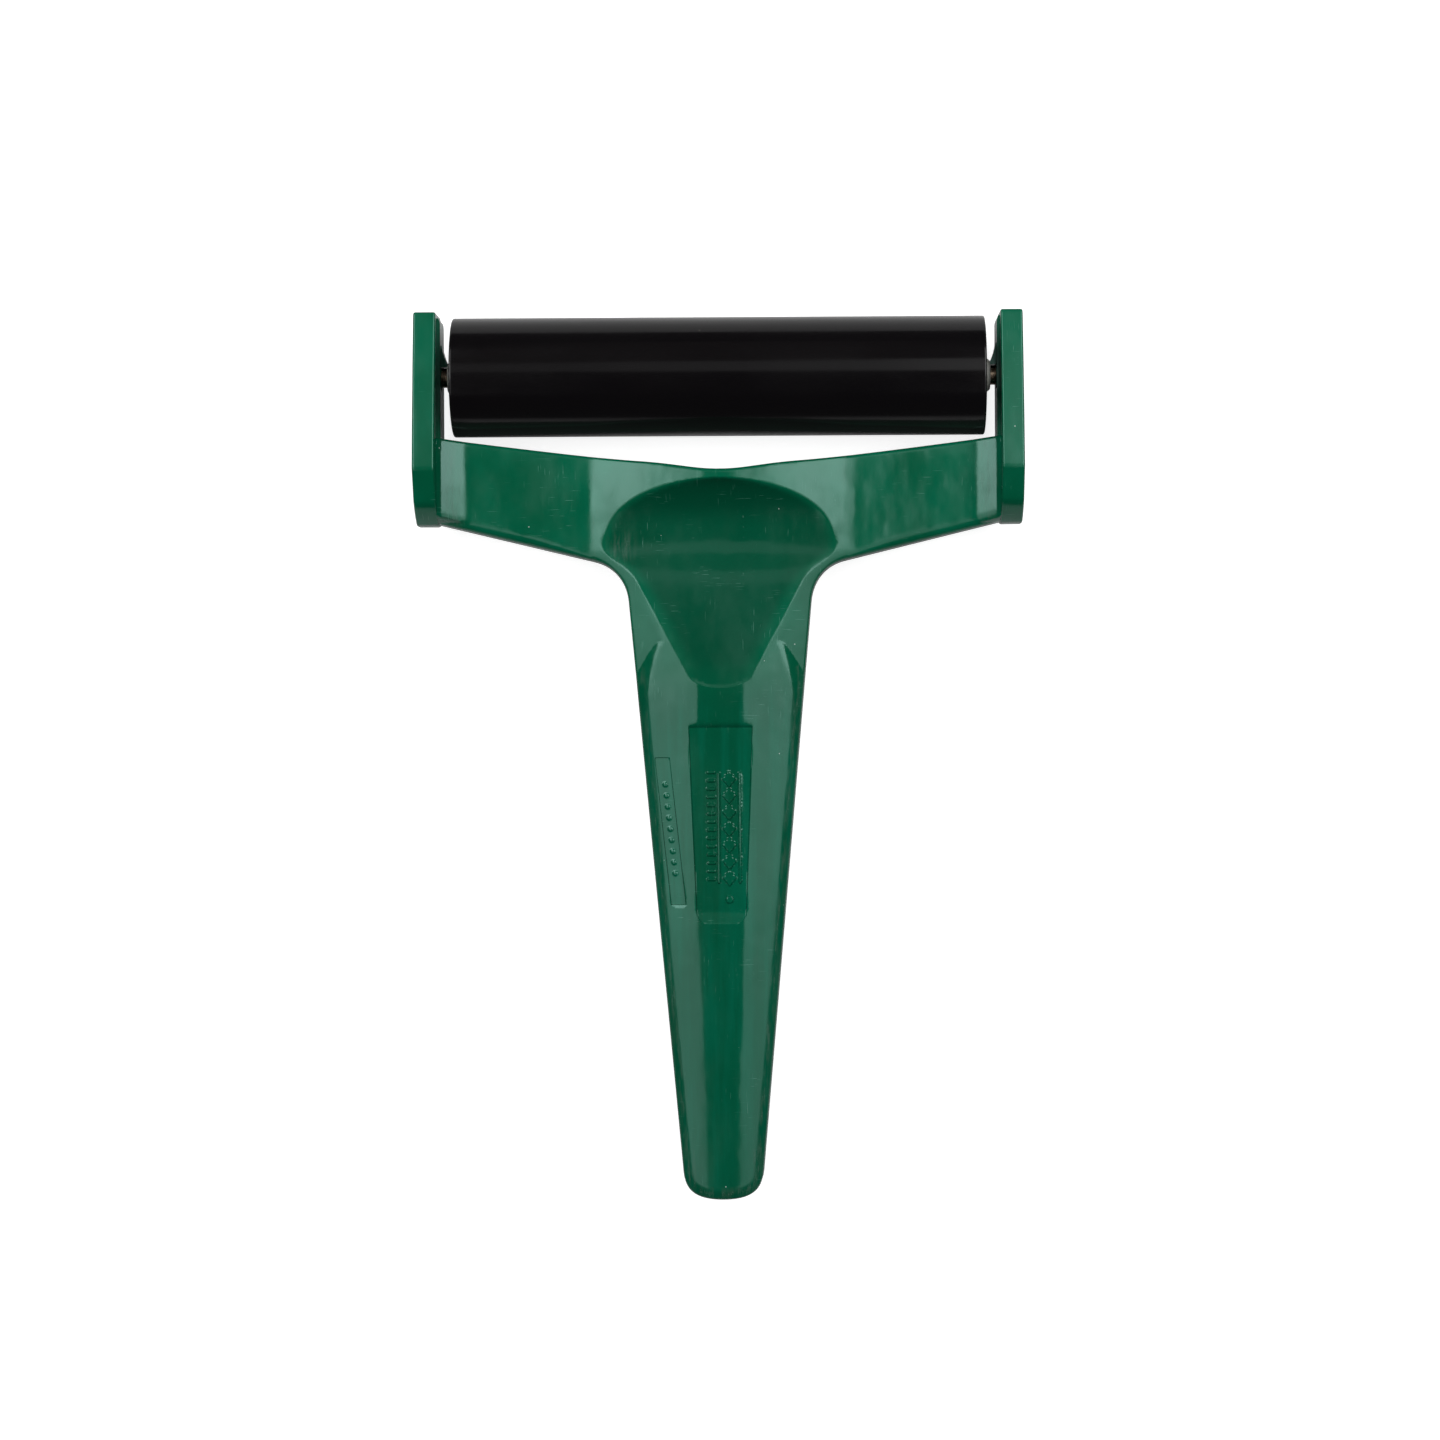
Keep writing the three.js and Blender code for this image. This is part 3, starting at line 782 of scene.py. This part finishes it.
def rounded_profile(corners):
    """A closed half section whose corners are rounded: [x, radius, rounding] points."""
    out = []
    for i, (x, r, rounding) in enumerate(corners):
        here = np.array([x, r])
        before = np.array(corners[i - 1][:2]) - here
        after = np.array(corners[(i + 1) % len(corners)][:2]) - here
        if rounding == 0:
            out.append((x, r))
            continue
        a = here + before / np.hypot(*before) * rounding
        b = here + after / np.hypot(*after) * rounding
        for t in np.linspace(0, 1, 5):
            p = (1 - t) ** 2 * a + 2 * t * (1 - t) * here + t * t * b
            out.append((float(p[0]), float(p[1])))
    return out


# ---- materials --------
def new_material(name):
    material = bpy.data.materials.new(name)
    material.use_nodes = True
    return material, material.node_tree, material.node_tree.nodes["Principled BSDF"]


def add_node(tree, kind, **inputs):
    """A new shader node with some of its inputs set."""
    node = tree.nodes.new("ShaderNode" + kind)
    for name, value in inputs.items():
        node.inputs[name].default_value = value
    return node


def place(tree, scale, offset=(0, 0, 0), turn=0.0):
    """Object coordinates, stretched; the scale is in repeats per metre along x, y and z."""
    coordinates = add_node(tree, "TexCoord")
    mapping = add_node(tree, "Mapping", Location=offset, Rotation=(0, 0, turn), Scale=scale)
    tree.links.new(coordinates.outputs["Object"], mapping.inputs["Vector"])
    return mapping.outputs["Vector"]


def noise(tree, vector, detail=3.0, roughness=0.55):
    node = add_node(tree, "TexNoise", Scale=1.0, Detail=detail, Roughness=roughness)
    tree.links.new(vector, node.inputs["Vector"])
    return node.outputs["Fac"]


def remap(tree, value, low, high, to_low=0.0, to_high=1.0):
    node = add_node(tree, "MapRange")
    node.interpolation_type = "SMOOTHSTEP"
    for socket, number in (("From Min", low), ("From Max", high), ("To Min", to_low), ("To Max", to_high)):
        node.inputs[socket].default_value = number
    tree.links.new(value, node.inputs["Value"])
    return node.outputs["Result"]


def combine(tree, operation, a, b):
    node = add_node(tree, "Math")
    node.operation = operation
    for socket, value in ((0, a), (1, b)):
        if isinstance(value, (int, float)):
            node.inputs[socket].default_value = value
        else:
            tree.links.new(value, node.inputs[socket])
    return node.outputs["Value"]


def times(tree, a, b):
    return combine(tree, "MULTIPLY", a, b)


def blend(tree, share, first, second):
    """Mixes two colours; each is a colour or a socket."""
    node = add_node(tree, "Mix")
    node.data_type = "RGBA"
    tree.links.new(share, node.inputs["Factor"])
    for name, color in (("A", first), ("B", second)):
        socket = [s for s in node.inputs if s.name == name and s.type == "RGBA"][0]
        if isinstance(color, tuple):
            socket.default_value = (*color, 1)
        else:
            tree.links.new(color, socket)
    return [s for s in node.outputs if s.type == "RGBA"][0]


def specks(tree, cells_per_metre, size, amount, seed):
    """1 on small dots: one cell in a few has a dot near its middle."""
    cells = add_node(tree, "TexVoronoi", Scale=1.0)
    places = place(tree, (cells_per_metre,) * 3, (seed, seed * 0.7, seed * 0.3))
    tree.links.new(places, cells.inputs["Vector"])
    dot = remap(tree, cells.outputs["Distance"], size * 0.6, size, 1.0, 0.0)
    separate = add_node(tree, "SeparateColor")
    tree.links.new(cells.outputs["Color"], separate.inputs["Color"])
    chosen = combine(tree, "LESS_THAN", separate.outputs["Red"], amount)
    return times(tree, dot, chosen)


def scratches(tree, scale, turn, low, seed):
    """1 on sparse thin streaks that run across the x of the turned coordinates."""
    streaks = noise(tree, place(tree, scale, (seed, seed, 0), turn), 1.0)
    patches = noise(tree, place(tree, (90, 90, 90), (seed, 0, seed)), 2.0)
    thin = remap(tree, streaks, low, low + 0.05)
    return times(tree, thin, remap(tree, patches, 0.5, 0.62))


def vertex_number(tree, name):
    """One of the numbers that mark_wear_and_painted_shade writes at each vertex."""
    node = add_node(tree, "Attribute")
    node.attribute_name = name
    return node.outputs["Fac"]


def bump(tree, shader, height, distance):
    node = add_node(tree, "Bump", Strength=1.0, Distance=distance)
    tree.links.new(height, node.inputs["Height"])
    tree.links.new(node.outputs["Normal"], shader.inputs["Normal"])


def green_plastic():
    """Glossy moulded plastic with soft waves, handling haze, worn edges, fine scuffs and dust, and painted
    shade that darkens the thumb scoop and the handle's back part.
    """
    material, tree, shader = new_material("green_plastic")
    mottle = noise(tree, place(tree, (70, 40, 70)), 4.0)
    deep, light = (0.0002, 0.063, 0.029), (0.0003, 0.079, 0.039)
    color = blend(tree, remap(tree, mottle, 0.35, 0.65), deep, light)
    # Painted shade: the colour turns a darker green in the thumb scoop and on the handle's back part, as
    # the vertex number read here says.
    color = blend(tree, vertex_number(tree, "painted_shade"), color, (0.0001, 0.038, 0.018))
    drawn = noise(tree, place(tree, (300, 14, 300), (4, 0, 1)), 4.0, 0.6)
    drawn = remap(tree, drawn, 0.4, 0.75, 0.0, 0.4)
    separate = add_node(tree, "SeparateXYZ")
    tree.links.new(place(tree, (1, 1, 1)), separate.inputs["Vector"])
    on_grip = remap(tree, separate.outputs["Y"], 0.006, 0.02, 1.0, 0.0)
    drawn = times(tree, drawn, on_grip)
    color = blend(tree, drawn, color, (0.0008, 0.105, 0.062))
    grain = noise(tree, place(tree, (1100, 150, 900)), 5.0, 0.7)
    worn = times(tree, vertex_number(tree, "wear"), remap(tree, grain, 0.4, 0.66))
    color = blend(tree, times(tree, worn, 0.4), color, (0.07, 0.1, 0.08))
    across = scratches(tree, (260, 5200, 260), 0.25, 0.7, 3.0)
    along = scratches(tree, (5200, 240, 260), -0.12, 0.7, 8.0)
    marks = combine(tree, "MAXIMUM", across, along)
    color = blend(tree, times(tree, marks, 0.2), color, (0.12, 0.3, 0.24))
    dust = specks(tree, 330, 0.05, 0.22, 2.0)
    color = blend(tree, times(tree, dust, 0.75), color, (0.42, 0.5, 0.46))
    tree.links.new(color, shader.inputs["Base Color"])
    haze = noise(tree, place(tree, (130, 60, 130), (5, 1, 0)), 5.0, 0.65)
    rough = remap(tree, haze, 0.35, 0.7, 0.12, 0.23)
    rough = combine(tree, "ADD", rough, times(tree, worn, 0.16))
    rough = combine(tree, "ADD", rough, times(tree, marks, 0.1))
    tree.links.new(rough, shader.inputs["Roughness"])
    shader.inputs["Specular Tint"].default_value = (0.62, 1, 0.92, 1)
    waves = noise(tree, place(tree, (120, 75, 120), (2, 4, 6)), 2.0)
    fine = noise(tree, place(tree, (1400, 500, 1400)), 3.0)
    height = combine(tree, "ADD", waves, times(tree, fine, 0.014))
    bump(tree, shader, height, 0.00022)
    return material


def black_rubber():
    """Ground black rubber with a soft sheen, faint turning marks and a little dust."""
    material, tree, shader = new_material("black_rubber")
    black, grey = (0.0017, 0.0014, 0.0018), (0.16, 0.15, 0.13)
    dust = times(tree, specks(tree, 260, 0.04, 0.22, 6.0), 0.5)
    tree.links.new(blend(tree, dust, black, grey), shader.inputs["Base Color"])
    turned = noise(tree, place(tree, (2600, 12, 12)), 3.0)
    haze = noise(tree, place(tree, (45, 70, 70), (3, 1, 2)), 4.0)
    tree.links.new(remap(tree, haze, 0.3, 0.7, 0.12, 0.18), shader.inputs["Roughness"])
    shader.inputs["Specular IOR Level"].default_value = 0.26
    shader.inputs["Sheen Weight"].default_value = 0.03
    bump(tree, shader, turned, 0.0000012)
    return material


def mottled_material(name, dark, light, rough, stretch, metallic=0.0):
    """Mottled colour, uneven gloss and faint marks; the marks are drawn out by the stretch."""
    material, tree, shader = new_material(name)
    mottle = noise(tree, place(tree, (180, 180, 180)), 4.0)
    color = blend(tree, remap(tree, mottle, 0.35, 0.65), dark, light)
    tree.links.new(color, shader.inputs["Base Color"])
    marks = noise(tree, place(tree, stretch, (1, 2, 3)), 3.0)
    tree.links.new(remap(tree, marks, 0.3, 0.7, *rough), shader.inputs["Roughness"])
    shader.inputs["Metallic"].default_value = metallic
    bump(tree, shader, marks, 0.000004)
    return material


FLOOR_GLOW_ON_OBJECT = 0.06  # the share of the paper's glow that the brayer itself reflects


def lit_sheet():
    """Pale paper, brightest around the brayer, whose glow falls off softly outside the picture."""
    material, tree, shader = new_material("floor")
    fibres = noise(tree, place(tree, (60, 60, 60)), 3.0)
    color = blend(tree, remap(tree, fibres, 0.3, 0.7), (0.4, 0.4, 0.4), (0.43, 0.43, 0.43))
    tree.links.new(color, shader.inputs["Base Color"])
    shader.inputs["Roughness"].default_value = 0.6
    away = add_node(tree, "VectorMath")
    away.operation = "LENGTH"
    tree.links.new(place(tree, (1, 1, 1)), away.inputs[0])
    glow = remap(tree, away.outputs["Value"], 0.22, 1.6, 0.82, 0.3)
    path = add_node(tree, "LightPath")
    seen = combine(tree, "MAXIMUM", path.outputs["Is Camera Ray"], FLOOR_GLOW_ON_OBJECT)
    tree.links.new(times(tree, glow, seen), shader.inputs["Emission Strength"])
    shader.inputs["Emission Color"].default_value = (1, 1, 1, 1)
    return material


green = green_plastic()
rubber = black_rubber()
TURNED = (1500, 60, 60)  # marks that run round the axle, as turning and drawing leave them
steel = mottled_material("axle_steel", (0.13, 0.1, 0.07), (0.26, 0.2, 0.145), (0.2, 0.3), TURNED, 1.0)
nylon = mottled_material("grey_nylon", (0.38, 0.38, 0.35), (0.48, 0.48, 0.45), (0.38, 0.5), (500, 500, 500))
black_plastic = mottled_material(
    "black_plastic", (0.009, 0.009, 0.01), (0.015, 0.015, 0.016), (0.38, 0.5), (900, 300, 300)
)
aluminium = mottled_material(
    "core_aluminium", (0.54, 0.54, 0.56), (0.66, 0.66, 0.68), (0.32, 0.46), TURNED, 1.0
)


# ---- the handle and yoke --------
def on_side(side, points):
    """Points given for the right side, or mirrored in x where side is -1."""
    return [(side * x, *rest) for x, *rest in points]


def joined(base, tools, operation):
    """Joins or cuts with closed meshes, and removes the tools."""
    for tool in tools:
        modifier = base.modifiers.new("join", "BOOLEAN")
        modifier.operation = operation
        modifier.solver = "MANIFOLD"
        modifier.object = tool
    apply_modifiers(base)
    for tool in tools:
        bpy.data.objects.remove(tool)


INTO_CHEEK = 0.6  # how far the pieces on the cheek's inner face run into it


def boss_mesh(side):
    """The round boss around the axle's socket, with a chamfered rim."""
    face = CHEEK_INNER - LEDGE - 0.1
    root = CHEEK_INNER + INTO_CHEEK
    profile = [(face, 0), (face, 2.7), (face + 0.3, 3.0), (root, 3.2), (root, 0)]
    return turned_mesh(on_side(side, profile), 64)


def standing_mesh(outline, low_z, high_z):
    """An (x, y) outline made solid between two heights."""
    bm = bmesh.new()
    low = [bm.verts.new((x, y, low_z)) for x, y in outline]
    high = [bm.verts.new((x, y, high_z)) for x, y in outline]
    bm.faces.new(low)
    bm.faces.new(high)
    for i in range(len(outline)):
        j = (i + 1) % len(outline)
        bm.faces.new((low[i], low[j], high[j], high[i]))
    bmesh.ops.recalc_face_normals(bm, faces=bm.faces)
    return bm


def ramp_mesh(side):
    """The lead-in on the cheek's inner face: a concave slope up to the axle's seat."""
    nose = CHEEK_INNER - 2.2
    root = CHEEK_INNER + 0.5
    front, seat = 6.6, 2.15
    flank_start = (CHEEK_INNER - 0.7, front)
    flank = bezier(flank_start, (CHEEK_INNER - 0.9, 4.8), (nose + 0.7, 3.4), (nose, seat), 10)
    outline = [(root, seat), (root, front), *flank]
    return standing_mesh(on_side(side, outline), AXLE.z - 2.6, AXLE.z + 1.4)


def ledge_mesh(side):
    """A narrow ledge along the cheek's inner face, from the arm to near the front, with a round nose."""
    inner = CHEEK_INNER - LEDGE
    root = CHEEK_INNER + INTO_CHEEK
    back, front, top_z = -22, 12.1, 15.9
    nose = bezier((inner, 10.6), (inner, 11.4), (inner + 0.2, 12.0), (CHEEK_INNER, front), 6)
    outline = [(root, back), (inner, back), *nose, (root, front)]
    return standing_mesh(on_side(side, outline), CHEEK_BOTTOM + 0.9, top_z)


def socket_mesh(side):
    """The cutter for the axle's blind socket."""
    mouth, end = CHEEK_INNER - 3, CHEEK_INNER + 2.4
    profile = [(mouth, 0), (mouth, BORE_RADIUS), (end, BORE_RADIUS), (end, 0)]
    return turned_mesh(on_side(side, profile), 64)


def peak(t, middle, half):
    """1 at the middle, and falling to 0 at a distance of half from it."""
    return np.clip(1 - np.abs(t - middle) / half, 0, 1)


def mark_wear_and_painted_shade(obj):
    """Writes two numbers at each vertex: how worn the plastic is, and how much painted shade darkens its
    colour.
    """
    co = np.array([tuple(v.co) for v in obj.data.vertices]) * MM - (0, AXLE.y, 0)
    x, y, z = co.T
    inside, _ = inside_by(co[:, :2])
    grip = peak(inside, 1.5, 0.8) * (y < -60)
    scuff = np.exp(-(((x + 20.3) / 2.2) ** 2) - ((y + 35.5) / 3.0) ** 2)
    gusset = peak(np.abs(x), CHEEK_INNER - 3.0, 3.0) * 0.7 * (y < -12)
    heel = peak(inside, 1.4, 1.6) * (y < -160) * 0.9
    head = peak(np.abs(x), CROWN_HALF - 0.6, 1.2) * 0.3 * (y > -40)
    rim = peak(inside, 0.2, 0.7) * 0.5 * (y < -30)
    wear = np.maximum.reduce([grip, gusset, heel, head, rim, scuff]) * (z > 6)
    # Painted shade: the scoop darkens with its depth below the crown, most towards its front wall, and the
    # handle darkens behind y = -60.
    scoop = scoop_depth(x, y) - crown_drop(x, y)
    scoop_painted_shade = (0.7 + 0.3 * smooth_step(y, -32, -26)) * smooth_step(scoop, 0.0, 0.7)
    painted_shade = scoop_painted_shade * (y > TROUGH["end"]) * (z > CROSSBAR_BOTTOM + 2) + 0.4 * smooth_step(-y, 60, 68)
    for name, values in (("wear", wear), ("painted_shade", painted_shade)):
        attribute = obj.data.attributes.new(name, "FLOAT", "POINT")
        attribute.data.foreach_set("value", values.astype(np.float32))


CHEEK_PARTS = (cheek_mesh, boss_mesh, ledge_mesh, ramp_mesh)
handle_frame = mesh_object("handle_and_yoke", slab_mesh(), green)
tools = [mesh_object("tool", make(side), green) for side in (-1, 1) for make in CHEEK_PARTS]
joined(handle_frame, tools, "UNION")
joined(handle_frame, [mesh_object("tool", socket_mesh(side), green) for side in (-1, 1)], "DIFFERENCE")
shade(handle_frame, 32)
mark_wear_and_painted_shade(handle_frame)
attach(handle_frame, "frame")
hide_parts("handle_frame")

# ---- the roller and its axle --------
ROLLER_RADIUS = AXLE.z  # the roller rests on the table
HUB_DEPTH = 14
FLANGE = 1.5
BUSH_LENGTH = 15
COLLAR = 0.5


def turned_piece(name, node, corners, segments, material):
    """A turned piece that stands for a CAD node, from its half section: [x, radius, rounding] points."""
    piece = mesh_object(name, turned_mesh(rounded_profile(corners), segments), material)
    shade(piece, 40)
    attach(piece, "frame" if node == "axle" else "roller")
    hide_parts(node)


def end_of(node):
    """How far a node reaches from the brayer's middle along x."""
    low, high = (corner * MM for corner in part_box(node))
    return max(abs(low.x), abs(high.x))


def hub_section(outside):
    """A plug inside the core tube, with a flange over the tube's end and a shallow dish in its face."""
    inside = outside - HUB_DEPTH
    flange = outside - FLANGE
    dish = outside - 0.35
    return [
        (inside, 3.05, 0), (inside, 7.4, 0.3), (flange, 7.4, 0), (flange, 8.95, 0.2),
        (outside, 8.95, 0.25), (outside, 7.9, 0.15), (dish, 7.6, 0.15), (dish, 4.6, 0.15),
        (outside, 4.3, 0.15), (outside, 3.05, 0),
    ]


def bush_section(nose, seat):
    """A bush in the hub's bore, with a collar against the hub's face."""
    back = nose - BUSH_LENGTH
    return [
        (back, BORE_RADIUS, 0), (back, 3.0, 0), (seat, 3.0, 0), (seat, 3.4, 0.1),
        (nose - COLLAR, 3.4, 0.15), (nose, 2.9, 0.15), (nose, BORE_RADIUS, 0.08),
    ]


sleeve_half = end_of("rubber_sleeve")
turned_piece(
    "rubber_roller", "rubber_sleeve",
    [
        (-sleeve_half, 9, 0.2), (-sleeve_half, ROLLER_RADIUS, 0.45),
        (sleeve_half, ROLLER_RADIUS, 0.45), (sleeve_half, 9, 0.2),
    ],
    256, rubber,
)
axle_half = end_of("axle")
turned_piece(
    "steel_axle", "axle",
    [
        (-axle_half, 0, 0), (-axle_half, AXLE_RADIUS, 0.4),
        (axle_half, AXLE_RADIUS, 0.4), (axle_half, 0, 0),
    ],
    96, steel,
)
for name, side in (("right", 1), ("left", -1)):
    outside = end_of(f"hub_{name}")
    corners = on_side(side, hub_section(outside))
    turned_piece(f"hub_plug_{name}", f"hub_{name}", corners, 128, black_plastic)
    corners = on_side(side, bush_section(end_of(f"bush_{name}"), outside + 0.05))
    turned_piece(f"nylon_bush_{name}", f"bush_{name}", corners, 96, nylon)
tube = frame["nodes"]["core_tube"]
tube.data.materials.clear()
tube.data.materials.append(aluminium)

# ---- floor, light and camera --------
FLOOR_HALF = 4000
FLOOR_GAP = 0.02  # keeps the floor clear of the heel's flat face
bm = bmesh.new()
bmesh.ops.create_grid(bm, x_segments=1, y_segments=1, size=FLOOR_HALF)
bmesh.ops.translate(bm, vec=(0, 0, -FLOOR_GAP), verts=bm.verts)
floor = mesh_object("floor", bm, lit_sheet())


LIGHT_HEIGHT = 700


def panel(name, left, right, near, far, radiance, tint=(1, 1, 1)):
    """A softbox facing down at LIGHT_HEIGHT, between two x and two y places, in millimetres."""
    light = bpy.data.lights.new(name, "AREA")
    light.shape = "RECTANGLE"
    light.size, light.size_y = (right - left) / MM, (far - near) / MM
    light.energy = radiance * math.pi * light.size * light.size_y
    light.color = tint
    obj = bpy.data.objects.new(name, light)
    obj.location = Vector(((left + right) / 2, (near + far) / 2, LIGHT_HEIGHT)) / MM
    obj.visible_camera = False
    bpy.context.scene.collection.objects.link(obj)


panel("key_left", -800, -240, -5, 950, 5.4)
panel("key_right", 225, 800, -5, 950, 5.2)
panel("key_left_inner", -240, -178, -5, 300, 2.8)
panel("key_right_inner", 150, 225, -5, 300, 2.9)
panel("fill_left", -800, -165, -160, -5, 1.75)
panel("fill_right", 140, 800, -160, -5, 1.7)
panel("low_left", -800, -165, -450, -160, 1.4)
panel("low_right", 140, 800, -450, -160, 1.15)
panel("right_glow", 60, 200, 130, 430, 1.0)
panel("middle_glow", -60, 60, 140, 390, 0.45)
panel("left_glow", -190, -60, 150, 360, 0.26)
panel("back_glow", -140, 105, 190, 1600, 0.09, (1, 0.9, 0.84))

world = bpy.data.worlds.new("studio")
world.use_nodes = True
world.node_tree.nodes["Background"].inputs["Color"].default_value = (1, 1, 1, 1)
world.node_tree.nodes["Background"].inputs["Strength"].default_value = 0.015
bpy.context.scene.world = world
bpy.context.scene.view_settings.view_transform = "Standard"

SENSOR = 36.0
FOCAL_LENGTH = 90.4
CAMERA_HEIGHT = 762.3
CAMERA_TURN = -0.33  # degrees
SIDE_STEP = 14.0  # the camera stands this far to the right, and its shift brings the brayer back
AHEAD_OF_CENTRE = 7.7
FRAMING_TRIM = 0.0006
camera = bpy.data.cameras.new("camera")
camera.sensor_width = SENSOR
camera.lens = FOCAL_LENGTH
camera.shift_x = -SIDE_STEP / (CAMERA_HEIGHT - AXLE.z) * FOCAL_LENGTH / SENSOR - FRAMING_TRIM
camera.clip_end = 50
camera_object = bpy.data.objects.new("camera", camera)
camera_object.location = Vector((SIDE_STEP, AHEAD_OF_CENTRE, CAMERA_HEIGHT)) / MM
camera_object.rotation_euler = (0, 0, math.radians(CAMERA_TURN))
bpy.context.scene.collection.objects.link(camera_object)
bpy.context.scene.camera = camera_object

bpy.context.view_layer.update()
